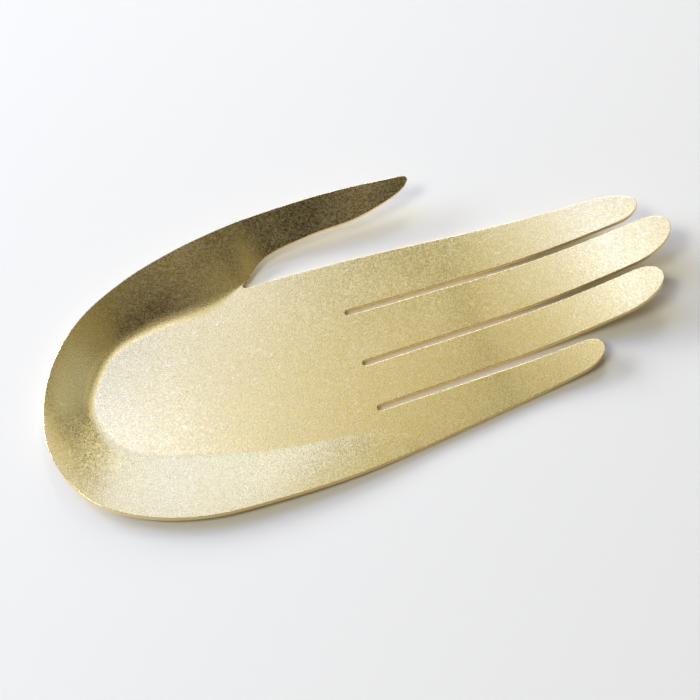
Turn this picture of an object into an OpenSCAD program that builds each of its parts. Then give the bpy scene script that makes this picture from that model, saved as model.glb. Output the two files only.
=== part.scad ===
// A left hand, palm up, cut from one piece of brass sheet and pressed into a shallow tray.
// +X runs along the fingers, +Y points to the thumb side and +Z is up. The origin is on the
// table, under the middle of the tray's box.
//
// The sheet has three regions. The flat one is the floor of the palm with the roots of the
// fingers. The rim is a loft that starts on the little-finger side, runs round the heel and up
// the thumb side, and ends as the thumb. The four fingers curl up together as one bent sheet.
// Each region is laid out on the underside of the sheet, and the upper face lies one sheet
// thickness away along the surface normal, so that the cut edges are square to the sheet.

/* [Hand] */
// Length from the heel to the tip of the middle finger
hand_length = 200; // [170:1:230]
// Width from the little-finger side to the outside of the thumb
hand_width = 94.8; // [85:0.2:105]
// Width of the palm, from the little-finger side to the crotch of the thumb
palm_width = 72.8; // [66:0.1:76]
// Thickness of the brass sheet
sheet_thickness = 1.5; // [1:0.1:2.5]

/* [Pressed shape] */
// Height of the rim at the root of the thumb, from the table to the underside
dish_depth = 5; // [2:0.1:8]
// Height of the tip of the thumb, from the table to the underside
thumb_lift = 7.4; // [4:0.1:12]
// Height of the tip of the middle finger, from the table to the underside
finger_lift = 9.6; // [3:0.1:15]
// Distance from the heel at which the fingers start to curl
curl_start = 132; // [120:1:145]
// Distance from the heel at which they have curled fully and run straight to their tips
curl_end = 180; // [165:1:195]

/* [Fingers] */
// Length of the middle slot, measured back from the tip of the middle finger
middle_slot_length = 104.6; // [90:0.2:110]
// How much farther back each slot starts than its neighbour on the thumb side
slot_step = 1.5; // [0:0.1:4]
// How far the index fingertip stays behind the middle one
index_setback = 5.6; // [2:0.1:14]
// How far the ring fingertip stays behind the middle one
ring_setback = 9.3; // [4:0.1:16]
// How far the little fingertip stays behind the middle one
little_setback = 35.1; // [25:0.1:42]
// Width of the slots between the fingers
slot_width = 2; // [1.2:0.1:3]
// Width at the open end of the slot beside the little finger
little_slot_mouth = 3.2; // [2:0.1:4.5]

/* [Thumb] */
// Distance from the heel to the crotch of the thumb
crotch_distance = 72; // [66:0.5:78]
// Radius of the crotch between the thumb and the palm
crotch_radius = 0.8; // [0.4:0.1:1.5]

/* [Hidden] */

// Rim, as stations from where it rises on the little-finger side, round the heel, to the tip
// of the thumb. Places are shares of the hand's length and width, from the heel and from the
// little-finger side.
rim_shares = [
    [0.51, 0.021], [0.4, 0.003], [0.29, 0.005], [0.185, 0.025], [0.097, 0.091],
    [0.033, 0.2], [0.002, 0.373], [0.01, 0.537], [0.044, 0.688], [0.103, 0.819],
    [0.183, 0.907], [0.267, 0.959], [0.347, 0.988]
];
thumb_outer_shares = [
    [0.41, 0.999], [0.5, 0.996], [0.57, 0.984], [0.622, 0.969], [0.653, 0.96], [0.658, 0.944]
];
thumb_inner_shares = [[0.405, 0.858], [0.482, 0.879], [0.557, 0.877], [0.618, 0.901], [0.647, 0.923]];
// Crease where the floor of the palm turns up into the rim, opposite the rim's own stations
crease_shares = [
    [0.494, 0.112], [0.41, 0.147], [0.315, 0.177], [0.217, 0.24], [0.144, 0.29],
    [0.102, 0.363], [0.087, 0.443], [0.087, 0.525], [0.112, 0.613], [0.151, 0.681],
    [0.215, 0.707], [0.289, 0.712]
];
// Height of the rim's outer edge at its stations, as shares of the dish's depth
rim_rise_shares = [0, 0.06, 0.2, 0.3, 0.38, 0.45, 0.54, 0.65, 0.77, 0.84, 0.89, 0.94, 1];
// Height of the thumb's outer edge, as shares of the way from the rim to the thumb's tip
thumb_outer_rise_shares = [0.08, 0.43, 0.7, 0.92, 1, 0.85];
// Height of the thumb's inner edge, as shares of the height of the thumb's tip
thumb_inner_rise_shares = [0.14, 0.33, 0.54, 0.73, 0.86];
// Share of the rim's width that its bend takes, at chosen stations
bend_shares = [
    [0, 0.15], [2, 0.14], [4, 0.18], [5, 0.22], [7, 0.27], [8, 0.34],
    [9, 0.36], [10, 0.31], [11, 0.25], [12, 0.04], [12.2, 0]
];
// Share of its slope that the rim has lost again at its outer edge, at chosen stations
ease_shares = [[0, 1], [1, 0.5], [2, 0.2], [3, 0], [5, 0.1], [6.5, 0.6], [8, 0.3], [9.5, 0]];

// Slots, from the index side, as shares of the palm's width at their closed and open ends
slot_root_shares = [0.732, 0.476, 0.258];
slot_mouth_shares = [0.677, 0.467, 0.262];
// Outer edges of the index and little fingers at their tips, as shares of the palm's width
index_edge_share = 0.822;
little_edge_share = 0.125;
// The index finger's outer edge leaves the palm's line by this power of the distance
index_sweep = 1.65;
// Fingertips, from the index finger: where the foremost point lies between the finger's edges,
// and how far the rounding reaches back on each side, as shares of the finger's width
tip_peak_shares = [0.49, 0.66, 0.62, 0.6];
tip_thumb_side_shares = [1.2, 0.6, 0.65, 0.55];
tip_little_side_shares = [0.8, 1.17, 1.26, 1.07];

// Directions of the crotch arc's two ends, as seen from its centre
crotch_from = 133;
crotch_to = 270;

// Counts
steps_per_station = 7;
rim_columns = 8;
finger_rows = 30;
arc_steps = 8;
edge_steps = 12;
// Columns crowd toward the crease by this power
column_power = 1.5;
// Part of a station or of the rim's width over which a slope is measured
probe_share = 0.01;

// Derived places
tip_distance = [
    hand_length - index_setback,
    hand_length,
    hand_length - ring_setback,
    hand_length - little_setback
];
slot_root = [for (k = [0:2]) hand_length - middle_slot_length + (1 - k) * slot_step];
slot_mouth = [tip_distance[0], tip_distance[2], tip_distance[3]];
mouth_width = [slot_width, slot_width, little_slot_mouth];
rim_start = [rim_shares[0].x * hand_length, rim_shares[0].y * hand_width];
crotch_centre = [crotch_distance, palm_width + crotch_radius];

function place(shares, height) = [shares.x * hand_length, shares.y * hand_width, height];
function unit(v) = v / norm(v);
function mix(a, b, share) = a + (b - a) * share;
function polar(radius, angle) = radius * [cos(angle), sin(angle)];
function flat(point) = [point.x, point.y, 0];

// Smooth curve through a list of points; s counts the points
function held(points, i) = points[max(0, min(len(points) - 1, i))];
function curve(points, s) =
    let (i = min(floor(s), len(points) - 2))
    let (u = s - i)
    let (a = held(points, i - 1))
    let (b = held(points, i))
    let (c = held(points, i + 1))
    let (d = held(points, i + 2))
    (2 * b + (c - a) * u + (2 * a - 5 * b + 4 * c - d) * u ^ 2 + (3 * b - a - 3 * c + d) * u ^ 3) / 2;

// Rim and thumb
rim_points = [for (k = [0:len(rim_shares) - 1]) place(rim_shares[k], dish_depth * rim_rise_shares[k])];
thumb_outer_points = [
    for (k = [0:len(thumb_outer_shares) - 1])
        place(thumb_outer_shares[k], mix(dish_depth, thumb_lift, thumb_outer_rise_shares[k]))
];
outer_points = concat(rim_points, thumb_outer_points);
crotch_start = flat(crotch_centre + polar(crotch_radius, crotch_from));
crease_points = concat([for (p = crease_shares) place(p, 0)], [crotch_start]);
thumb_inner_points = concat(
    [crotch_start],
    [
        for (k = [0:len(thumb_inner_shares) - 1])
            place(thumb_inner_shares[k], thumb_lift * thumb_inner_rise_shares[k])
    ],
    [outer_points[len(outer_points) - 1]]
);
thumb_station = len(rim_shares) - 1;
last_station = len(outer_points) - 1;

function inner_edge(s) =
    s <= thumb_station ? curve(crease_points, s) : curve(thumb_inner_points, s - thumb_station);

// Rise across the rim: a parabola over the bend, then a slope that eases toward the outer edge
function rise(v, bend, ease) =
    let (past = max(0, v - bend))
    let (height = v < bend ? v ^ 2 / (2 * bend) : bend / 2 + past - ease * past ^ 3 / (3 * (1 - bend) ^ 2))
    height / (bend / 2 + (1 - bend) * (1 - ease / 3));

function rim_point(s, v) =
    let (inner = inner_edge(s))
    let (outer = curve(outer_points, s))
    let (across = mix(inner, outer, v))
    let (share = rise(v, lookup(s, bend_shares), lookup(s, ease_shares)))
    [across.x, across.y, mix(inner.z, outer.z, share)];

function rim_normal(s, v) =
    let (along = rim_point(min(s + probe_share, last_station), v) - rim_point(max(s - probe_share, 0), v))
    let (across = rim_point(s, min(v + probe_share, 1)) - rim_point(s, max(v - probe_share, 0)))
    unit(cross(along, across));

rim_rows = last_station * steps_per_station;
crotch_row = thumb_station * steps_per_station;
rim_width_count = rim_columns + 1;
function row_station(r) = r / steps_per_station;
function column_share(c) = (c / rim_columns) ^ column_power;
function on_floor(r, c) = r == 0 || (c == 0 && r <= crotch_row);

rim_under = [
    for (r = [0:rim_rows - 1])
        for (c = [0:rim_columns])
            rim_point(row_station(r), column_share(c))
];
rim_normals = [
    for (r = [0:rim_rows - 1])
        for (c = [0:rim_columns])
            on_floor(r, c) ? [0, 0, 1] : rim_normal(row_station(r), column_share(c))
];

// Fingers
function slot_centre(k, x) =
    let (share = (x - slot_root[k]) / (slot_mouth[k] - slot_root[k]))
    palm_width * mix(slot_root_shares[k], slot_mouth_shares[k], share);
function slot_half(k, x) =
    mix(slot_width, mouth_width[k], (x - slot_root[k]) / (slot_mouth[k] - slot_root[k])) / 2;
function palm_edge(x) =
    palm_width * (1 - (1 - index_edge_share)
        * (max(0, x - crotch_distance) / (tip_distance[0] - crotch_distance)) ^ index_sweep);
function little_edge(x) =
    mix(rim_start.y, little_edge_share * palm_width, (x - rim_start.x) / (tip_distance[3] - rim_start.x));

// Straight sides of finger k, before its tip is rounded
function thumb_side(k, x) = k == 0 ? palm_edge(x) : slot_centre(k - 1, x) - slot_half(k - 1, x);
function little_side(k, x) = k == 3 ? little_edge(x) : slot_centre(k, x) + slot_half(k, x);
function tip_width(k) = thumb_side(k, tip_distance[k]) - little_side(k, tip_distance[k]);
function tip_peak(k) =
    mix(little_side(k, tip_distance[k]), thumb_side(k, tip_distance[k]), tip_peak_shares[k]);

// Quarter of an ellipse: 1 up to the start of the rounding, and 0 at the tip
function rounding(k, x, reach) =
    let (past = x - tip_distance[k] + reach)
    past <= 0 ? 1 : sqrt(max(0, 1 - (past / reach) ^ 2));
function finger_thumb_side(k, x) =
    mix(tip_peak(k), thumb_side(k, x), rounding(k, x, tip_thumb_side_shares[k] * tip_width(k)));
function finger_little_side(k, x) =
    mix(tip_peak(k), little_side(k, x), rounding(k, x, tip_little_side_shares[k] * tip_width(k)));

// The curl is one parabola for all four fingers, and past its end they run on straight
curl_length = curl_end - curl_start;
curl_rate = finger_lift / (curl_length * (curl_length / 2 + hand_length - curl_end));
function curled(x) = min(max(0, x - curl_start), curl_length);
function curl(x) = curl_rate * curled(x) * (curled(x) / 2 + max(0, x - curl_end));
function curl_normal(x) = unit([-curl_rate * curled(x), 0, 1]);

// Rows crowd toward the tip
function row_distance(k, j) = mix(tip_distance[k], curl_start, (1 - j / finger_rows) ^ 2);
finger_under = [
    for (k = [0:3])
        for (j = [0:finger_rows - 1])
            let (x = row_distance(k, j))
                for (y = [finger_thumb_side(k, x), finger_little_side(k, x)])
                    [x, y, curl(x)]
];
finger_tips = [for (k = [0:3]) [tip_distance[k], tip_peak(k), curl(tip_distance[k])]];

// Edges of the flat region: crotch, thumb side of the palm and closed ends of the slots
crotch_arc = [
    for (i = [1:arc_steps])
        flat(crotch_centre + polar(crotch_radius, mix(crotch_from, crotch_to, i / arc_steps)))
];
palm_side = [
    for (i = [1:edge_steps - 1])
        let (x = mix(crotch_distance, curl_start, i / edge_steps))
            [x, palm_edge(x), 0]
];
slot_ends = [
    for (k = [0:2])
        let (x = slot_root[k] + slot_width / 2)
            for (i = [0:arc_steps])
                flat([x, slot_centre(k, x)] + polar(slot_width / 2, 90 + 180 * i / arc_steps))
];

// All points of the underside, and where each group starts
under = concat(
    rim_under,
    [outer_points[last_station]],
    crotch_arc,
    palm_side,
    finger_under,
    finger_tips,
    slot_ends
);
normals = concat(
    rim_normals,
    [rim_normal(last_station - probe_share, 1)],
    [for (p = crotch_arc) [0, 0, 1]],
    [for (p = palm_side) [0, 0, 1]],
    [for (p = finger_under) curl_normal(p.x)],
    [for (p = finger_tips) curl_normal(p.x)],
    [for (p = slot_ends) [0, 0, 1]]
);
thumb_tip = len(rim_under);
crotch_base = thumb_tip + 1;
side_base = crotch_base + len(crotch_arc);
finger_base = side_base + len(palm_side);
tip_base = finger_base + len(finger_under);
slot_base = tip_base + len(finger_tips);
total = len(under);

function rim_index(r, c) = r * rim_width_count + c;
function thumb_side_index(k, j) = finger_base + 2 * (k * finger_rows + j);
function little_side_index(k, j) = thumb_side_index(k, j) + 1;
function slot_indices(k) = [for (i = [0:arc_steps]) slot_base + k * (arc_steps + 1) + i];
crotch_and_side = [for (i = [crotch_base:finger_base - 1]) i];

// Outline of the flat region, clockwise from above
flat_loop = concat(
    [for (r = [0:crotch_row]) rim_index(r, 0)],
    crotch_and_side,
    [
        for (k = [0:3])
            each concat(
                [thumb_side_index(k, 0), little_side_index(k, 0)],
                k < 3 ? slot_indices(k) : []
            )
    ],
    [for (c = [rim_columns:-1:1]) rim_index(0, c)]
);

// Cut edge of the whole sheet, clockwise from above
function finger_loop(k) = concat(
    [for (j = [0:finger_rows - 1]) thumb_side_index(k, j)],
    [tip_base + k],
    [for (j = [finger_rows - 1:-1:0]) little_side_index(k, j)],
    k < 3 ? slot_indices(k) : []
);
edge_loop = concat(
    [for (r = [0:rim_rows - 1]) rim_index(r, rim_columns)],
    [thumb_tip],
    [for (r = [rim_rows - 1:-1:crotch_row]) rim_index(r, 0)],
    crotch_and_side,
    [for (k = [0:3]) each finger_loop(k)]
);

// Faces of the upper side, clockwise from above
rim_faces = [
    for (r = [0:rim_rows - 2])
        for (c = [0:rim_columns - 1])
            each [
                [rim_index(r, c), rim_index(r, c + 1), rim_index(r + 1, c + 1)],
                [rim_index(r, c), rim_index(r + 1, c + 1), rim_index(r + 1, c)]
            ]
];
thumb_tip_faces = [
    for (c = [0:rim_columns - 1])
        [rim_index(rim_rows - 1, c), rim_index(rim_rows - 1, c + 1), thumb_tip]
];
finger_faces = [
    for (k = [0:3])
        for (j = [0:finger_rows - 2])
            [
                little_side_index(k, j),
                thumb_side_index(k, j),
                thumb_side_index(k, j + 1),
                little_side_index(k, j + 1)
            ]
];
finger_tip_faces = [
    for (k = [0:3])
        [little_side_index(k, finger_rows - 1), thumb_side_index(k, finger_rows - 1), tip_base + k]
];
surface_faces = concat([flat_loop], rim_faces, thumb_tip_faces, finger_faces, finger_tip_faces);

function reversed(face) = [for (i = [len(face) - 1:-1:0]) face[i]];
function raised(face) = [for (i = face) i + total];
edge_faces = [
    for (i = [0:len(edge_loop) - 1])
        let (a = edge_loop[i])
            let (b = edge_loop[(i + 1) % len(edge_loop)])
                each [[a, b, b + total], [a, b + total, a + total]]
];

upper = [for (i = [0:total - 1]) under[i] + sheet_thickness * normals[i]];
sheet_points = concat(under, upper);
sheet_faces = concat(
    [for (f = surface_faces) raised(f)],
    [for (f = surface_faces) reversed(f)],
    edge_faces
);
middle_x = (min([for (p = sheet_points) p.x]) + max([for (p = sheet_points) p.x])) / 2;
middle_y = (min([for (p = sheet_points) p.y]) + max([for (p = sheet_points) p.y])) / 2;

module hand_tray() {
    color([0.8, 0.72, 0.48])
        translate([-middle_x, -middle_y, 0])
            polyhedron(sheet_points, sheet_faces);
}

hand_tray();
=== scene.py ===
# %% [markdown]
# # A tray in the shape of a hand
#
# The real object is one piece of brass sheet. Its outline, a left hand with the palm up, is cut
# out with four straight-sided fingers and a curved thumb. Then the sheet is pressed: a rim rises
# round the heel of the hand and up into the thumb, and the fingers curl up at their ends.
#
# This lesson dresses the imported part. The part gives the place and the size, and the piece made
# here gives the look: a finer copy of the pressed sheet, with rounded cut edges, in satin brass.
# It could also be modelled by hand as a flat mesh that is pulled into shape. It is worked out
# from formulas instead, because a reflection shows every small unevenness of a curved sheet.

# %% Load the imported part
import math

import bpy
import numpy as np
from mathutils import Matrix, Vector


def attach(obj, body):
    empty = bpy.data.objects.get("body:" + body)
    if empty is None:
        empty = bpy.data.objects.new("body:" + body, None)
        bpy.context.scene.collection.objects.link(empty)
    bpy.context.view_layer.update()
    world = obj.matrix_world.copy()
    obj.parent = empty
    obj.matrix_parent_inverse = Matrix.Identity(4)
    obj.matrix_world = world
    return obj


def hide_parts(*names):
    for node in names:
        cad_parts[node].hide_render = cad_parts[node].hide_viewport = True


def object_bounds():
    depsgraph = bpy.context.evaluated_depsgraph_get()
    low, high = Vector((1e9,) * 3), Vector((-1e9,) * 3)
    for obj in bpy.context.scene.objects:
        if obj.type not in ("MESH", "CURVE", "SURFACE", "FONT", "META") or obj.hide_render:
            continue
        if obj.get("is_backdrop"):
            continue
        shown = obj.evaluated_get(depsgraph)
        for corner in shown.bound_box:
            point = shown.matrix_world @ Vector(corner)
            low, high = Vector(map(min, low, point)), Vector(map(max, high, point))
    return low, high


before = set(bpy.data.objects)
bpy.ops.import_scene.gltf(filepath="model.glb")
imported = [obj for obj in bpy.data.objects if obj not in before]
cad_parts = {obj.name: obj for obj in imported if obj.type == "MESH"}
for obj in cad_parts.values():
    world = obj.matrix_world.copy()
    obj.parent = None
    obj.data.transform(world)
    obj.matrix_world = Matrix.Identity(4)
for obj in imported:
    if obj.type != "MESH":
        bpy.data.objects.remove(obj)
cad_low, cad_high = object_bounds()
print("the part is", [round(1000 * v, 2) for v in cad_high - cad_low], "mm")

# %% [markdown]
# ## The camera
#
# The tray is seen from above its little-finger side, with the heel to the left. The camera is
# placed from what it looks at: a point on the table, a compass direction, a height above the
# horizon and a distance. A long lens half a metre away keeps the outline almost free of
# perspective. Placing it by numbers like these, and not by hand, keeps each one easy to correct.

# %% Place the camera
MM = 0.001
AIM = Vector((-6.1, -6.0, 0)) * MM
TURN, HEIGHT, DISTANCE = math.radians(21), math.radians(58), 510 * MM
IMAGE_WIDTH, FOCAL_PIXELS = 700, 1700

camera = bpy.data.objects.new("camera", bpy.data.cameras.new("camera"))
bpy.context.scene.collection.objects.link(camera)
bpy.context.scene.camera = camera
level = math.cos(HEIGHT)
view = Vector((math.sin(TURN) * level, math.cos(TURN) * level, -math.sin(HEIGHT)))
camera.location = AIM - view * DISTANCE
camera.rotation_euler = view.to_track_quat("-Z", "Y").to_euler()
camera.data.lens = camera.data.sensor_width * FOCAL_PIXELS / IMAGE_WIDTH
print("the camera is at", [round(1000 * v) for v in camera.location], "mm")

# %% [markdown]
# ## The outline of the sheet
#
# A press tool's surface is drawn from a few curves. Here there are two long ones. The outer curve
# is the cut edge of the sheet, from where the rim starts on the little-finger side, round the
# heel, to the tip of the thumb. The inner curve is the crease where the floor of the palm turns
# up, and past the crotch of the thumb it is the thumb's inner edge.
#
# The curves could be drawn by hand as splines. They are worked out instead, through points given
# as shares of the hand's length and width and of the height that they reach, because a formula
# can be evaluated at any fineness.

# %% Sizes that the whole sheet shares, in millimetres
LENGTH, WIDTH, PALM, SHEET = 200.0, 94.8, 72.8, 1.5
DISH, THUMB_LIFT, FINGER_LIFT = 5.0, 7.4, 9.6
print("a hand", LENGTH, "mm long and", WIDTH, "mm wide, from", SHEET, "mm sheet")

# %% Points of the outer and the inner curve
OUTER = np.array([
    [0.51, 0.021, 0], [0.4, 0.003, 0.16], [0.29, 0.005, 0.28], [0.185, 0.025, 0.34],
    [0.097, 0.091, 0.38], [0.033, 0.2, 0.45], [0.002, 0.373, 0.54], [0.01, 0.537, 0.65],
    [0.044, 0.688, 0.77], [0.103, 0.819, 0.84], [0.183, 0.907, 0.89], [0.267, 0.959, 0.94],
    [0.347, 0.988, 1],
]) * [LENGTH, WIDTH, DISH]
THUMB_OUTER = np.array([
    [0.41, 0.999, 0.08], [0.5, 0.996, 0.43], [0.57, 0.984, 0.7], [0.622, 0.969, 0.92],
    [0.653, 0.96, 1], [0.658, 0.944, 0.85],
]) * [LENGTH, WIDTH, THUMB_LIFT - DISH] + [0, 0, DISH]
CREASE = np.array([
    [0.494, 0.112, 0], [0.41, 0.147, 0], [0.315, 0.177, 0], [0.217, 0.24, 0], [0.144, 0.29, 0],
    [0.102, 0.363, 0], [0.087, 0.443, 0], [0.087, 0.525, 0], [0.112, 0.613, 0], [0.151, 0.681, 0],
    [0.215, 0.707, 0], [0.289, 0.712, 0],
]) * [LENGTH, WIDTH, 0]
THUMB_INNER = np.array([
    [0.405, 0.858, 0.14], [0.482, 0.879, 0.33], [0.557, 0.877, 0.54], [0.618, 0.901, 0.73],
    [0.647, 0.923, 0.86],
]) * [LENGTH, WIDTH, THUMB_LIFT]

# The crotch is a small arc between the crease and the index finger's side
CROTCH_RADIUS = 0.8
CROTCH = np.array([72.0, PALM + CROTCH_RADIUS])
CROTCH_ANGLES = np.radians([133, 270])
first_angle = CROTCH_ANGLES[0]
first_direction = np.array([math.cos(first_angle), math.sin(first_angle)])
crotch_start = np.append(CROTCH + CROTCH_RADIUS * first_direction, 0)

outer_points = np.vstack([OUTER, THUMB_OUTER])
crease_points = np.vstack([CREASE, crotch_start])
thumb_points = np.vstack([crotch_start, THUMB_INNER, outer_points[-1]])
THUMB_STATION, LAST_STATION = len(OUTER) - 1, len(outer_points) - 1
print("rim and thumb have", len(outer_points), "stations, and the thumb starts at number", THUMB_STATION)


# %% One smooth curve through any points
def curve(points, s):
    """A smooth curve through points, where s counts them: between two neighbours it is a cubic
    whose slope at each is half the step from the point before it to the point after it."""
    s = np.asarray(s, float)
    i = np.clip(np.floor(s).astype(int), 0, len(points) - 2)
    u = (s - i)[..., None]
    a, b, c, d = (points[np.clip(i + k, 0, len(points) - 1)] for k in (-1, 0, 1, 2))
    return (2 * b + (c - a) * u + (2 * a - 5 * b + 4 * c - d) * u**2 + (3 * b - a - 3 * c + d) * u**3) / 2


def inner_edge(s):
    """The crease up to the thumb's station, and the thumb's inner edge past it."""
    s = np.asarray(s, float)
    crease = curve(crease_points, np.minimum(s, THUMB_STATION))
    thumb = curve(thumb_points, np.maximum(s - THUMB_STATION, 0))
    return np.where((s <= THUMB_STATION)[..., None], crease, thumb)


rim_width = np.linalg.norm(inner_edge(8.0) - curve(outer_points, 8.0))
print("widest stretch of rim:", round(float(rim_width), 1), "mm")

# %% [markdown]
# ## The rim as a surface of two parameters
#
# Between the two curves the sheet rises. One parameter, s, runs along the rim, and the other, v,
# runs across it from the crease to the cut edge. Across the rim the height first follows a
# parabola, which is the bend that the press makes. Then it is a straight line, or a line that
# eases off toward the cut edge where the press let the sheet spring back. The bend is tight on
# the little-finger side, where a clear crease shows, wider round the heel, and it is gone at the
# crotch, where the thumb leaves the palm as a straight ramp.

# %% Height across the rim
# At chosen stations: the share of the rim's width that the bend takes, and the share of its
# slope that the sheet has lost again at the cut edge
BENDS = np.array([
    [0, 0.06], [2, 0.05], [4, 0.1], [5, 0.18], [7, 0.27], [8, 0.34],
    [9, 0.36], [10, 0.31], [11, 0.25], [12, 0.04], [12.2, 0],
])
EASES = np.array([[0, 0.4], [1, 0.3], [2, 0.2], [3, 0], [5, 0.1], [6.5, 0.6], [8, 0.3], [9.5, 0]])
# Keeps a division from failing where a bend or a length is zero
TINY = 1e-6


def rise(v, bend, ease):
    """Share of the height at v: v squared over the bend, then a slope that loses the share ease
    of itself toward the outer edge, by the square of the distance."""
    bend = np.maximum(bend, TINY)
    past = np.maximum(v - bend, 0)
    height = np.where(v < bend, v**2 / (2 * bend), bend / 2 + past - ease * past**3 / (3 * (1 - bend) ** 2))
    return height / (bend / 2 + (1 - bend) * (1 - ease / 3))


def across(inner, outer, s, v):
    """The point a share v of the way from inner to outer, with the height set by the rise."""
    mixed = inner + (outer - inner) * v[..., None]
    share = rise(v, np.interp(s, BENDS[:, 0], BENDS[:, 1]), np.interp(s, EASES[:, 0], EASES[:, 1]))
    mixed[..., 2] = inner[..., 2] + (outer[..., 2] - inner[..., 2]) * share
    return mixed


def rim(s, v):
    """A point of the sheet's underside on the rim, for arrays s and v of the same shape."""
    return across(inner_edge(s), curve(outer_points, s), s, v)


PROBES = np.array([2.0, 6.5, 10.0])
print("rim height at the near side, heel and thumb side:", rim(PROBES, np.ones(3))[:, 2].round(2), "mm")

# %% [markdown]
# The light on a curved sheet depends on the direction square to it, so that comes from the same
# formula and not from the mesh: it is the cross product of a small step along the rim and a
# small step across it. Faces that are bent only a little then reflect without any banding.

# %% Direction square to the rim
# Half of the step across, as a share of the rim's width, and of the step along, in stations
STEP = 0.01
SMOOTHING = 0.3


def unit(a):
    """Each vector divided by its own length."""
    return a / np.maximum(np.linalg.norm(a, axis=-1, keepdims=True), TINY**2)


def rim_normal(s, v):
    """Square to the sheet: the cross product of a step along s and a small step along v. The
    step along s is longer, so that the light doesn't break in a line at the crotch."""
    along = rim(np.minimum(s + SMOOTHING, LAST_STATION), v) - rim(np.maximum(s - SMOOTHING, 0), v)
    over = rim(s, np.minimum(v + STEP, 1)) - rim(s, np.maximum(v - STEP, 0))
    return unit(np.cross(along, over))


lean = np.degrees(np.arccos(rim_normal(PROBES, np.ones(3))[:, 2]))
print("the rim's edge leans by", lean.round(1), "degrees at the same three places")

# %% [markdown]
# ## Slots and fingers
#
# Four fingers are separated by three straight slots, which were cut right through the flat sheet
# before it was pressed. Their near ends are half circles, the mark of a round cutter or of a
# punch. A Boolean cut would make them in a mesh too, but it would leave long thin triangles, so
# each side of a slot is written as a straight line that a finger's grid can follow.

# %% The three slots
# Everything is listed from the index finger, and places across are shares of the palm's width
SLOT_LENGTH, ROOT_STEP, SLOT_WIDTH = 104.6, 1.5, 2.0
TIPS = LENGTH - np.array([5.6, 0, 9.3, 35.1])
SLOT_ROOTS = LENGTH - SLOT_LENGTH + ROOT_STEP * np.array([1, 0, -1])
SLOT_MOUTHS = TIPS[[0, 2, 3]]
ROOT_Y, MOUTH_Y = PALM * np.array([0.732, 0.476, 0.258]), PALM * np.array([0.677, 0.467, 0.262])
MOUTH_WIDTHS = np.array([2.0, 2.0, 3.2])


def slot_side(k, x, sign):
    """A side of slot k: its centre line plus or minus half of its width, both straight in x."""
    share = (x - SLOT_ROOTS[k]) / (SLOT_MOUTHS[k] - SLOT_ROOTS[k])
    centre = ROOT_Y[k] + (MOUTH_Y[k] - ROOT_Y[k]) * share
    return centre + sign * (SLOT_WIDTH + (MOUTH_WIDTHS[k] - SLOT_WIDTH) * share) / 2


print("slots are", (SLOT_MOUTHS - SLOT_ROOTS).round(1), "mm long")

# %% [markdown]
# Each finger has straight sides and a tip made of two quarter ellipses that meet at its foremost
# point. A longer ellipse on one side than on the other gives each tip its own lean, as on a hand.

# %% Sides and tips of the fingers
INDEX_SIDE, LITTLE_SIDE, INDEX_SWEEP = 0.822 * PALM, 0.125 * PALM, 1.65
# Where a tip's foremost point lies between its sides, and how far back the rounding reaches on
# each side, as shares of the finger's width
PEAKS = [0.49, 0.66, 0.62, 0.6]
THUMB_REACH, LITTLE_REACH = [1.2, 0.6, 0.65, 0.55], [0.8, 1.17, 1.26, 1.07]


def palm_side(x):
    """Index side of the hand: it leaves the palm's straight line by a power of the distance."""
    share = np.maximum(x - CROTCH[0], 0) / (TIPS[0] - CROTCH[0])
    return PALM - (PALM - INDEX_SIDE) * share**INDEX_SWEEP


def little_side(x):
    """Little-finger side: a straight line from the start of the rim to the fingertip."""
    return np.interp(x, [outer_points[0, 0], TIPS[3]], [outer_points[0, 1], LITTLE_SIDE])


def finger_sides(k, x):
    """Both sides of finger k at x: the straight side, drawn in to the tip by a quarter ellipse."""
    upper = palm_side if k == 0 else (lambda x: slot_side(k - 1, x, -1))
    lower = little_side if k == 3 else (lambda x: slot_side(k, x, 1))
    top, bottom = upper(TIPS[k]), lower(TIPS[k])
    peak = bottom + (top - bottom) * PEAKS[k]
    sides = []
    for side, reach in ((upper, THUMB_REACH[k]), (lower, LITTLE_REACH[k])):
        past = np.maximum(x - TIPS[k] + reach * (top - bottom), 0) / (reach * (top - bottom))
        sides.append(peak + (side(x) - peak) * np.sqrt(np.maximum(1 - past**2, 0)))
    return sides[0], sides[1], peak


print("fingers end at", TIPS, "mm from the heel")

# %% [markdown]
# All four fingers were curled in one stroke, over one tool. So their height depends on the
# distance from the heel alone: flat up to the start of the curl, then a parabola, then straight.

# %% The curl
CURL_START, CURL_END = 132.0, 180.0
CURL_LENGTH = CURL_END - CURL_START
CURL_RATE = FINGER_LIFT / (CURL_LENGTH * (CURL_LENGTH / 2 + LENGTH - CURL_END))


def curled(x):
    """How much of the curl's length lies behind x."""
    return np.clip(x - CURL_START, 0, CURL_LENGTH)


def curl(x):
    """Height of the fingers' underside: a parabola over the curl, then a straight line."""
    return CURL_RATE * curled(x) * (curled(x) / 2 + np.maximum(x - CURL_END, 0))


def curl_normal(x):
    """Square to the curl: one over its slope, turned upright."""
    slope = CURL_RATE * curled(x)
    return unit(np.stack([-slope, np.zeros_like(slope), np.ones_like(slope)], -1))


print("steepest curl:", round(math.degrees(math.atan(CURL_RATE * CURL_LENGTH)), 1), "degrees")

# %% [markdown]
# ## The cut edge, walked once round
#
# A cut edge isn't a sharp corner on the real tray: it was deburred, so light catches a fine line
# along it. That line needs real rounding in the mesh. A Bevel modifier could do it, but it would
# also bevel the ends of the grids. Instead the whole edge is walked once, clockwise, as one list
# of points, each with the direction square to the sheet there. First comes the rim with the
# thumb, then the crotch and the side of the palm, then the fingers with the slots between them.

# %% A list of stretches
STEPS, ARC, SIDE_STEPS, FINGER_ROWS = 24, 14, 40, 64
stretches = []


def flat(x, y):
    """Points of the floor at x, y, with height zero."""
    return np.stack([x, y, np.zeros_like(x)], -1)


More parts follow.
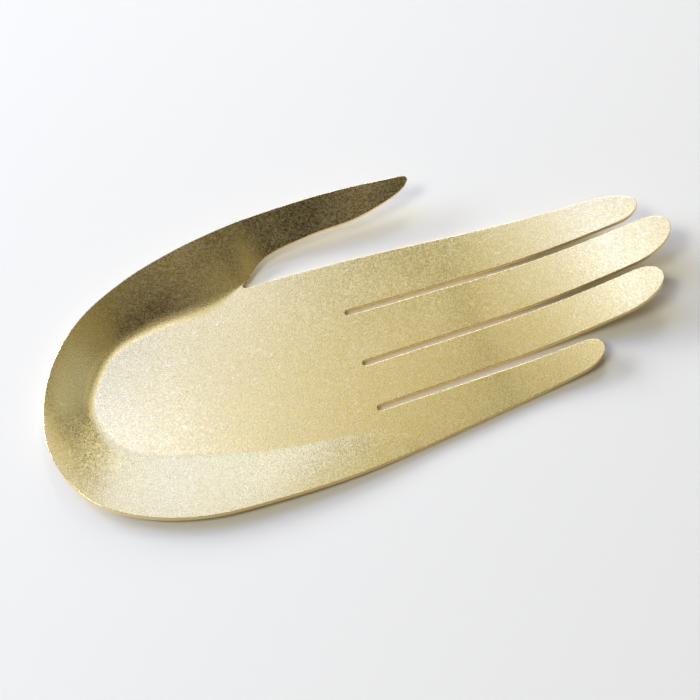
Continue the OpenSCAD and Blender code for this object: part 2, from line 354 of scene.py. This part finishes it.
def add_stretch(name, points, normals):
    """Keeps one stretch of the cut edge: its name, its points and the sheet's directions there."""
    stretches.append((name, points, normals))


UPRIGHT = np.array([0.0, 0.0, 1.0])
print("each stretch of rim between two stations gets", STEPS, "points")

# %% The edge of the rim, the thumb and the palm
rim_s = np.arange(LAST_STATION * STEPS) / STEPS
thumb_row = THUMB_STATION * STEPS
outer_normals = rim_normal(rim_s, np.ones_like(rim_s))
outer_normals[0] = UPRIGHT
add_stretch("outer", curve(outer_points, rim_s), outer_normals)
add_stretch("thumb_tip", outer_points[-1:], rim_normal(np.array([LAST_STATION - STEP]), np.ones(1)))
inner_s = rim_s[:thumb_row - 1:-1]
inner_normals = rim_normal(inner_s, np.zeros_like(inner_s))
inner_normals[-1] = UPRIGHT
add_stretch("inner", inner_edge(inner_s), inner_normals)
angles = first_angle + (CROTCH_ANGLES[1] - first_angle) * np.arange(1, ARC + 1) / ARC
crotch = flat(CROTCH[0] + CROTCH_RADIUS * np.cos(angles), CROTCH[1] + CROTCH_RADIUS * np.sin(angles))
add_stretch("crotch", crotch, np.tile(UPRIGHT, (ARC, 1)))
x = CROTCH[0] + (CURL_START - CROTCH[0]) * np.arange(1, SIDE_STEPS) / SIDE_STEPS
add_stretch("palm", flat(x, palm_side(x)), np.tile(UPRIGHT, (len(x), 1)))
print("so far", sum(len(s[1]) for s in stretches), "points")

# %% The edge of the fingers and the slots
for k in range(4):
    x = TIPS[k] + (CURL_START - TIPS[k]) * (1 - np.arange(FINGER_ROWS) / FINGER_ROWS) ** 2
    upper, lower, peak = finger_sides(k, x)
    add_stretch(f"finger{k}_upper", np.stack([x, upper, curl(x)], -1), curl_normal(x))
    tip = np.array([[TIPS[k], peak, curl(TIPS[k])]])
    add_stretch(f"finger{k}_tip", tip, curl_normal(tip[:, 0]))
    x = x[::-1]
    add_stretch(f"finger{k}_lower", np.stack([x, lower[::-1], curl(x)], -1), curl_normal(x))
    if k < 3:
        start = SLOT_ROOTS[k] + SLOT_WIDTH / 2
        angles = np.pi * (0.5 + np.arange(ARC + 1) / ARC)
        middle = (slot_side(k, start, -1) + slot_side(k, start, 1)) / 2
        end = flat(start + SLOT_WIDTH / 2 * np.cos(angles), middle + SLOT_WIDTH / 2 * np.sin(angles))
        add_stretch(f"slot{k}", end, np.tile(UPRIGHT, (ARC + 1, 1)))
print("in all", sum(len(s[1]) for s in stretches), "points")

# %% [markdown]
# At every point of the edge the direction out of the sheet is square both to the edge and to the
# sheet, so it is their cross product. The surfaces stop a little inside the edge, by the radius
# of its rounding, and a rounded profile closes the gap later.

# %% The direction out of the sheet
# Radius of the edge's rounding, in millimetres
DEBURR = 0.15

edge = np.vstack([s[1] for s in stretches])
edge_normal = np.vstack([s[2] for s in stretches])
forward = unit(np.roll(edge, -1, 0) - edge)
tangent = unit(forward + np.roll(forward, 1, 0))
outward = unit(np.cross(edge_normal, tangent))
inset = edge - DEBURR * outward
starts = np.cumsum([0] + [len(s[1]) for s in stretches])
span = {s[0]: np.arange(a, b) for s, a, b in zip(stretches, starts[:-1], starts[1:])}
print("the cut edge is", round(float(np.linalg.norm(np.roll(edge, -1, 0) - edge, axis=1).sum())), "mm round")

# %% [markdown]
# ## The faces of the sheet
#
# Inside the edge there are three kinds of surface: the rim's grid, the fingers' grids and one
# flat face for the floor, which a press leaves truly flat. A flat region as a single polygon has
# no grid lines that could show in a reflection. All are laid out on the underside, and the upper
# face lies one sheet thickness away along the directions square to it.

# %% The rim's grid
COLUMNS, COLUMN_POWER = 20, 1.5
points, normals = [inset], [edge_normal]


def add_points(p, n):
    """Adds points inside the sheet, as a grid of any shape, and returns their numbers."""
    first = sum(len(q) for q in points)
    points.append(p.reshape(-1, 3))
    normals.append(n.reshape(-1, 3))
    return first + np.arange(p[..., 0].size).reshape(p.shape[:-1])


# Rows are stations, and columns crowd toward the crease, where the bend is
shares = (np.arange(COLUMNS + 1) / COLUMNS) ** COLUMN_POWER
inner_inset = inner_edge(rim_s)
inner_inset[thumb_row:] = inset[span["inner"]][::-1]
s_grid, v_grid = np.meshgrid(rim_s, shares[:-1], indexing="ij")
rim_points = across(inner_inset[:, None], inset[span["outer"]][:, None], s_grid, v_grid)
rim_normals = rim_normal(s_grid, v_grid)
rim_normals[0] = UPRIGHT
rim_normals[:thumb_row + 1, 0] = UPRIGHT
rim_grid = np.empty((len(rim_s), COLUMNS + 1), int)
rim_grid[:, 1:-1] = add_points(rim_points[:, 1:], rim_normals[:, 1:])
rim_grid[:, -1] = span["outer"]
rim_grid[:thumb_row, 0] = add_points(rim_points[:thumb_row, 0], rim_normals[:thumb_row, 0])
rim_grid[thumb_row:, 0] = span["inner"][::-1]
print("the rim's grid has", rim_grid.shape[0], "rows and", rim_grid.shape[1], "columns")

# %% The fingers' grids
FINGER_COLUMNS = 14
finger_grids = []
mix = np.arange(1, FINGER_COLUMNS)[:, None] / FINGER_COLUMNS
for k in range(4):
    upper, lower = span[f"finger{k}_upper"], span[f"finger{k}_lower"][::-1]
    between = inset[upper][:, None] + (inset[lower] - inset[upper])[:, None] * mix
    between[..., 2] = curl(between[..., 0])
    grid = add_points(between, curl_normal(between[..., 0]))
    finger_grids.append(np.column_stack([upper, grid, lower]))
under, square = np.vstack(points), np.vstack(normals)
print("each face of the sheet has", len(under), "points")


# %% Faces between the points
def quads(grid):
    """Four-cornered faces between neighbouring rows and columns of a grid of point numbers."""
    return np.stack([grid[:-1, :-1], grid[:-1, 1:], grid[1:, 1:], grid[1:, :-1]], -1).reshape(-1, 4)


def fan(row, tip):
    """Three-cornered faces from the last row of a grid to one point."""
    return np.stack([row[:-1], row[1:], np.full(len(row) - 1, tip)], -1)


floor_loop = np.concatenate(
    [rim_grid[:thumb_row + 1, 0], span["crotch"], span["palm"]]
    + [part for k in range(4) for part in (finger_grids[k][0], span.get(f"slot{k}", np.empty(0, int)))]
    + [rim_grid[0, :0:-1]]
)
sheet_faces = [floor_loop.tolist()]
sheet_faces += quads(rim_grid).tolist() + fan(rim_grid[-1], span["thumb_tip"][0]).tolist()
for k, grid in enumerate(finger_grids):
    sheet_faces += quads(grid[:, ::-1]).tolist() + fan(grid[-1, ::-1], span[f"finger{k}_tip"][0]).tolist()
print("each face of the sheet has", len(sheet_faces), "polygons")
print("the floor's polygon has", len(floor_loop), "corners")

# %% [markdown]
# ## The rounded cut edge
#
# The edge's profile is a small quarter circle at the top, the cut face, and a quarter circle at
# the bottom. It is carried along the whole edge as a grid: one direction runs round the profile
# and the other round the hand. The sheet is then closed, with no seam.

# %% The profile carried round the edge
ROUND_STEPS = 3
bend_angles = np.linspace(0, np.pi / 2, ROUND_STEPS + 1)
angle = np.concatenate([bend_angles[1:], np.pi / 2 + bend_angles[:-1]])
height = np.concatenate([np.full(ROUND_STEPS, SHEET - DEBURR), np.full(ROUND_STEPS, DEBURR)])
profile_normal = np.sin(angle)[:, None, None] * outward + np.cos(angle)[:, None, None] * edge_normal
profile = inset + height[:, None, None] * edge_normal + DEBURR * profile_normal

count = len(under)
ring = 2 * count + np.arange(len(angle) * len(edge)).reshape(len(angle), len(edge))
ring = np.vstack([count + np.arange(len(edge)), ring, np.arange(len(edge))])
ring = np.column_stack([ring, ring[:, 0]])
all_points = np.vstack([under, under + SHEET * square, profile.reshape(-1, 3)])
all_normals = unit(np.vstack([-square, square, profile_normal.reshape(-1, 3)]))
# Faces are listed clockwise from above, so the upper ones are turned round to point up
faces = [[i + count for i in face[::-1]] for face in sheet_faces] + sheet_faces
faces += quads(ring[::-1].T).tolist()

# The part's origin is under the middle of its box
box_middle = (all_points.min(0) + all_points.max(0)) / 2
all_points -= [box_middle[0], box_middle[1], 0]
print("faces:", len(faces), "box:", np.ptp(all_points, axis=0).round(2), "mm")


# %% Put the sheet into Blender
def make_piece(name, vertices, faces, normals):
    """A mesh object at the origin from points in millimetres, with its own shading directions."""
    mesh = bpy.data.meshes.new(name)
    mesh.from_pydata((vertices * MM).tolist(), [], faces)
    mesh.polygons.foreach_set("use_smooth", np.ones(len(mesh.polygons), bool))
    mesh.update()
    mesh.normals_split_custom_set_from_vertices(normals.tolist())
    piece = bpy.data.objects.new(name, mesh)
    bpy.context.scene.collection.objects.link(piece)
    return piece


sheet = make_piece("pressed_sheet", all_points, faces, all_normals)
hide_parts("hand_tray")
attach(sheet, "root")
print("pressed_sheet:", len(sheet.data.polygons), "faces,", len(sheet.data.vertices), "points")

# %% [markdown]
# The cut edge has a finish of its own, and a brighter gold painted on it as a glow for the light
# that bounces in the slots, so the mesh carries a number that is 1 there and 0 on the sheet's two
# faces. A material can read such a number, called an attribute, by its name.

# %% Mark the cut edge
cut = np.zeros(len(all_points), np.float32)
cut[2 * count:] = 1
sheet.data.attributes.new("cut_edge", "FLOAT", "POINT").data.foreach_set("value", cut)
print("points on the cut edge:", int(cut.sum()))

# %% [markdown]
# ## Helpers for materials
#
# A material is a tree of nodes. One helper adds a node, sets it and links it, so that a tree
# reads like a list of steps. Colours are written as sRGB hex codes, the way a paint chart gives
# them, and one function turns them into the linear values that a shader works with.


# %% Colours and nodes
def linear(code):
    """An sRGB hex colour as linear red, green, blue and alpha: each channel is divided by 12.92
    where it is dark, and is otherwise raised to the power 2.4 after a small offset."""
    channels = [int(code[i:i + 2], 16) / 255 for i in (1, 3, 5)]
    return (*[c / 12.92 if c <= 0.04045 else ((c + 0.055) / 1.055) ** 2.4 for c in channels], 1)


def add_node(tree, kind, inputs, output=0, **settings):
    """Adds a node, sets its properties, sets or links its inputs, and returns one output."""
    node = tree.nodes.new(kind)
    for key, value in settings.items():
        setattr(node, key, value)
    for key, value in inputs.items():
        if isinstance(value, bpy.types.NodeSocket):
            tree.links.new(value, node.inputs[key])
        else:
            node.inputs[key].default_value = value
    return node.outputs[output] if node.outputs else node


def new_tree(name):
    """An empty node material and its tree."""
    material = bpy.data.materials.new(name)
    material.use_nodes = True
    material.node_tree.nodes.clear()
    return material, material.node_tree


print("brass in linear light:", [round(c, 2) for c in linear("#EDD9A5")[:3]])

# %% [markdown]
# ## Satin brass
#
# The sheet is bare brass, rolled and then tumbled with small stones. Tumbling leaves a satin
# finish without a direction: a fine, even speckle, a few tiny nicks, and hairline scratches. The
# nicks and scratches are painted paler than the brass, a painted glint for the light that they
# catch. A mirror finish would show the room, and a brushed one would have lines. A metal has no
# colour of its own under its surface, so its base colour is what it reflects straight on.
# It keeps the shader's default IOR.
#
# The marks are drawn from noise in millimetres, read from the object's own coordinates, so that
# they stay where they are when the view changes. Real tumbling marks are about a tenth of a
# millimetre wide. They are drawn a few times coarser, as wide as a pixel, because they wouldn't
# show at all otherwise.

# %% The speckle that tumbling leaves
SPECKLE, MOTTLING, CLOUDS = 0.4 * MM, 1.4 * MM, 15 * MM
brass, tree = new_tree("satin_brass")
place = add_node(tree, "ShaderNodeTexCoord", {}, "Object")
grain = add_node(tree, "ShaderNodeTexVoronoi", {"Vector": place, "Scale": 1 / SPECKLE}, "Color")
grain = add_node(tree, "ShaderNodeSeparateColor", {"Color": grain}, "Red")
speckle = add_node(tree, "ShaderNodeTexNoise", {"Vector": place, "Scale": 1 / SPECKLE, "Detail": 1.0})
mottling = add_node(tree, "ShaderNodeTexNoise", {"Vector": place, "Scale": 1 / MOTTLING, "Detail": 2.0})
clouds = add_node(tree, "ShaderNodeTexNoise", {"Vector": place, "Scale": 1 / CLOUDS, "Detail": 2.0})
print("nodes with the speckle:", len(tree.nodes))

# %% [markdown]
# A nick is a small dot at the middle of some Voronoi cells: only the cells whose random number
# is high enough get one. A hairline scratch is a contour line of a slow noise, where it passes
# through one half, and a second noise leaves only short pieces of it.

# %% Nicks and hairline scratches
NICKS, NICK_SHARE = 1.3 * MM, 0.3
SCRATCHES, SCRATCH_WIDTH = 9 * MM, 0.006
cells = add_node(tree, "ShaderNodeTexVoronoi", {"Vector": place, "Scale": 1 / NICKS}, "Distance")
nick = add_node(
    tree,
    "ShaderNodeMapRange",
    {"Value": cells, "From Min": 0.08, "From Max": 0.17, "To Min": 1.0, "To Max": 0.0},
)
chance = add_node(tree, "ShaderNodeTexVoronoi", {"Vector": place, "Scale": 1 / NICKS}, "Color")
chance = add_node(tree, "ShaderNodeSeparateColor", {"Color": chance}, "Red")
chance = add_node(tree, "ShaderNodeMath", {0: chance, 1: NICK_SHARE}, operation="LESS_THAN")
nicks = add_node(tree, "ShaderNodeMath", {0: nick, 1: chance}, operation="MULTIPLY")

contour = add_node(tree, "ShaderNodeTexNoise", {"Vector": place, "Scale": 1 / SCRATCHES, "Detail": 0.0})
contour = add_node(tree, "ShaderNodeMath", {0: contour, 1: 0.5, 2: SCRATCH_WIDTH}, operation="COMPARE")
short = add_node(tree, "ShaderNodeMapRange", {"Value": mottling, "From Min": 0.5, "From Max": 0.6})
scratches = add_node(tree, "ShaderNodeMath", {0: contour, 1: short}, operation="MULTIPLY")
print("nodes with nicks and scratches:", len(tree.nodes))

# %% [markdown]
# The speckle shows in three ways. Each grain reflects a little paler or darker, which the colour
# gives. Each leans its own way, which the bump gives. And each has its own gloss. All three come
# in the next two cells. Nicks and scratches are painted paler than the brass, a painted glint for
# the light that they catch. The cut edge was smoothed with a file, so it is a cleaner gold, and it
# is painted brighter still, a painted glow for the light that bounces between the walls of the slots.

# %% Colour of the brass
DARK_GRAIN, PALE_GRAIN = linear("#E7D6A0"), linear("#F2E5B9")
# The pale mark colour is a painted glint on nicks and scratches. The cut edge's gold is partly its own and
# partly a painted glow for the light that bounces between the walls of the slots.
MARK_AND_GLINT, FILED_GOLD_AND_SLOT_GLOW = linear("#FFFAE8"), linear("#FBE2AC")
MOTTLING_SHARE, MARK_GLINT_SHARE = 0.4, 0.5
shade = add_node(tree, "ShaderNodeMapRange", {"Value": mottling, "From Min": 0.25, "From Max": 0.75})
shade = add_node(tree, "ShaderNodeMix", {0: MOTTLING_SHARE, 2: grain, 3: shade})
colour = add_node(tree, "ShaderNodeMix", {0: shade, 6: DARK_GRAIN, 7: PALE_GRAIN}, 2, data_type="RGBA")
# Painted glint: nicks and scratches are mixed halfway toward a near-white, for the light they catch
marks_and_glints = add_node(tree, "ShaderNodeMath", {0: nicks, 1: scratches}, operation="MAXIMUM")
marks_and_glints = add_node(tree, "ShaderNodeMath", {0: marks_and_glints, 1: MARK_GLINT_SHARE}, operation="MULTIPLY")
colour = add_node(tree, "ShaderNodeMix", {0: marks_and_glints, 6: colour, 7: MARK_AND_GLINT}, 2, data_type="RGBA")
cut_edge_mask = add_node(tree, "ShaderNodeAttribute", {}, "Fac", attribute_name="cut_edge")
# Painted glow: the cut edge gets a brighter gold than the faces, for light bouncing in the slots
colour = add_node(tree, "ShaderNodeMix", {0: cut_edge_mask, 6: colour, 7: FILED_GOLD_AND_SLOT_GLOW}, 2, data_type="RGBA")
print("nodes with the colours:", len(tree.nodes))

# %% [markdown]
# The stones polish the high spots and leave the hollows matte, so two glosses are mixed, and each
# grain has its own share of them. The polished one keeps the crease and the border of a window
# clear, and the matte one spreads a haze over both. A single gloss in between would lose the
# two. On the dark thumb the matter grains catch a little of the window, and that is its speckle.

# %% Relief and gloss of the brass
BUMP_HEIGHT = 0.017 * MM
MOTTLING_RELIEF, NICK_RELIEF = 0.15, -0.5
# Roughness of the matte gloss between the clouds and in them, what a grain adds to it at most,
# and the roughness of the polished gloss
MATTE_LOW, MATTE_HIGH, MATTE_GRAIN, POLISHED = 0.21, 0.25, 0.08, 0.14
# Share of the polished gloss in the brightest and in the dullest grain
MOST_POLISH, LEAST_POLISH = 0.45, 0.1
both = {0: mottling, 1: MOTTLING_RELIEF, 2: speckle}
relief = add_node(tree, "ShaderNodeMath", both, operation="MULTIPLY_ADD")
relief = add_node(tree, "ShaderNodeMath", {0: nicks, 1: NICK_RELIEF, 2: relief}, operation="MULTIPLY_ADD")
normal = add_node(tree, "ShaderNodeBump", {"Height": relief, "Distance": BUMP_HEIGHT, "Strength": 1.0})
rough = add_node(
    tree,
    "ShaderNodeMapRange",
    {"Value": clouds, "From Min": 0.3, "From Max": 0.7, "To Min": MATTE_LOW, "To Max": MATTE_HIGH},
)
rough = add_node(tree, "ShaderNodeMath", {0: grain, 1: MATTE_GRAIN, 2: rough}, operation="MULTIPLY_ADD")
look = {"Base Color": colour, "Metallic": 1.0, "Normal": normal}
matte = add_node(tree, "ShaderNodeBsdfPrincipled", look | {"Roughness": rough})
polished = add_node(tree, "ShaderNodeBsdfPrincipled", look | {"Roughness": POLISHED})
polish = {"Value": grain, "To Min": MOST_POLISH, "To Max": LEAST_POLISH}
share = add_node(tree, "ShaderNodeMapRange", polish)
share = add_node(tree, "ShaderNodeMath", {0: share, 1: cut_edge_mask}, operation="MAXIMUM")
surface = add_node(tree, "ShaderNodeMixShader", {0: share, 1: matte, 2: polished})
add_node(tree, "ShaderNodeOutputMaterial", {"Surface": surface})
sheet.data.materials.append(brass)
print("satin_brass has", len(tree.nodes), "nodes")

# %% [markdown]
# ## The table
#
# A matt white table fills the view. It is far larger than the view, so that no edge of it shows
# from any side, and its light fills the shadows and the underside of the fingers.

# %% A plain pale table
# Half of the table's side, in metres
TABLE_HALF = 3.0
table_mesh = bpy.data.meshes.new("table")
corners = TABLE_HALF * np.array([[-1, -1, 0], [1, -1, 0], [1, 1, 0], [-1, 1, 0]])
table_mesh.from_pydata(corners.tolist(), [], [[0, 1, 2, 3]])
table = bpy.data.objects.new("table", table_mesh)
bpy.context.scene.collection.objects.link(table)
table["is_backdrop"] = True
paint, tree = new_tree("white_table")
matt_white = {"Base Color": linear("#EDEDED"), "Roughness": 0.6}
surface = add_node(tree, "ShaderNodeBsdfPrincipled", matt_white)
add_node(tree, "ShaderNodeOutputMaterial", {"Surface": surface})
table_mesh.materials.append(paint)
print("table:", 2 * TABLE_HALF, "m square")

# %% [markdown]
# ## The light
#
# A satin metal shows what is above it as soft patches, so the lights are placed by where they
# are mirrored. A large window stands low behind the tray and to the left. It lights the table
# and draws the shadows, and nothing on the tray mirrors it. Small panes higher up are what the
# sheet does mirror: the near rim takes the lowest one, the fingertips the left one, and the
# floor the dimmer ones between. Two lights on the left shine along the slots and down into
# them. The ceiling is dim and warm, and it is what the thumb mirrors, so the thumb is dark.
# Two wide weak fills on the other sides keep the tray from going black when it is seen from
# there.

# %% The dim room
ROOM_GLOW = (0.01, 0.008, 0.004, 1)
world = bpy.data.worlds.new("room")
bpy.context.scene.world = world
world.use_nodes = True
background = world.node_tree.nodes["Background"]
background.inputs["Color"].default_value = ROOM_GLOW
background.inputs["Strength"].default_value = 1.0
print("the room's own glow:", ROOM_GLOW[:3])


# %% Soft lights
def add_light(name, compass, up, distance, wide, tall, colour):
    """A soft rectangular light that looks at the tray. Its compass direction is seen from the
    camera, with 0 straight ahead and plus to the right, and up is its height above the horizon.
    Its sides are angles in degrees, as the tray sees them, and its power is pi times its area
    times its brightness."""
    sides = [2 * distance * math.tan(math.radians(side / 2)) for side in (wide, tall)]
    light = bpy.data.lights.new(name, "AREA")
    light.shape, light.size, light.size_y = "RECTANGLE", *sides
    light.energy = math.pi * sides[0] * sides[1] * max(colour)
    light.color = [c / max(colour) for c in colour]
    lamp = bpy.data.objects.new(name, light)
    turned = TURN + math.radians(compass)
    reach = math.cos(math.radians(up))
    away = Vector((math.sin(turned) * reach, math.cos(turned) * reach, math.sin(math.radians(up))))
    lamp.location = AIM + away * distance
    lamp.rotation_euler = (-away).to_track_quat("-Z", "Y").to_euler()
    bpy.context.scene.collection.objects.link(lamp)
    print(name, "gives", round(light.energy, 1), "W")


add_light("window", -60, 16, 3, 30, 14, (22.5, 23, 23.8))
add_light("window_left", -82, 16, 3, 24, 14, (9.2, 11, 15.5))
add_light("window_top", -42, 42, 3, 30, 20, (1.8, 2.2, 4.0))
add_light("low_pane", 0, 34, 2, 14, 12, (10.2, 10.2, 9.2))
add_light("low_right", 0, 16, 3, 30, 14, (5.6, 5.3, 4.2))
add_light("corner", 8, 44, 2, 22, 10, (0.55, 0.46, 0.2))
add_light("near_pane", -14, 52, 2, 12, 5, (1.5, 1.8, 3.0))
add_light("tip_pane", -25, 62, 2, 10, 6, (2.1, 2.4, 3.9))
add_light("centre_left", -13, 60, 2, 11, 9, (0.25, 0.26, 0.38))
add_light("centre", -1, 60, 2, 14, 10, (0.7, 0.63, 0.35))
add_light("centre_top", -14, 67, 2, 12, 5, (1.15, 1.05, 0.6))
add_light("centre_right", 14, 58, 2, 14, 7, (0.2, 0.18, 0.08))
add_light("far_wall", 38, 58, 2, 17, 12, (0.58, 0.58, 0.48))
add_light("ceiling", 52, 70, 2, 26, 12, (0.3, 0.24, 0.11))
add_light("ceiling_left", -16, 75, 2, 14, 8, (0.33, 0.23, 0.1))
add_light("left_wall", -110, 56, 2, 20, 12, (5.0, 6.0, 6.8))
add_light("left_pane", -114, 48, 3, 24, 16, (6.6, 5.9, 3.8))
add_light("behind", 180, 60, 2, 60, 40, (0.44, 0.32, 0.15))
add_light("fill_behind", 170, 22, 3, 80, 32, (0.2, 0.19, 0.17))
add_light("fill_right", 92, 22, 3, 74, 32, (0.2, 0.19, 0.17))
bpy.context.scene.view_settings.view_transform = "Standard"

# %% Write the sizes and finish
low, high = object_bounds()
low_gap = [round(1000 * value, 3) for value in low - cad_low]
high_gap = [round(1000 * value, 3) for value in high - cad_high]
print("visual box minus part box:", low_gap, high_gap, "mm")
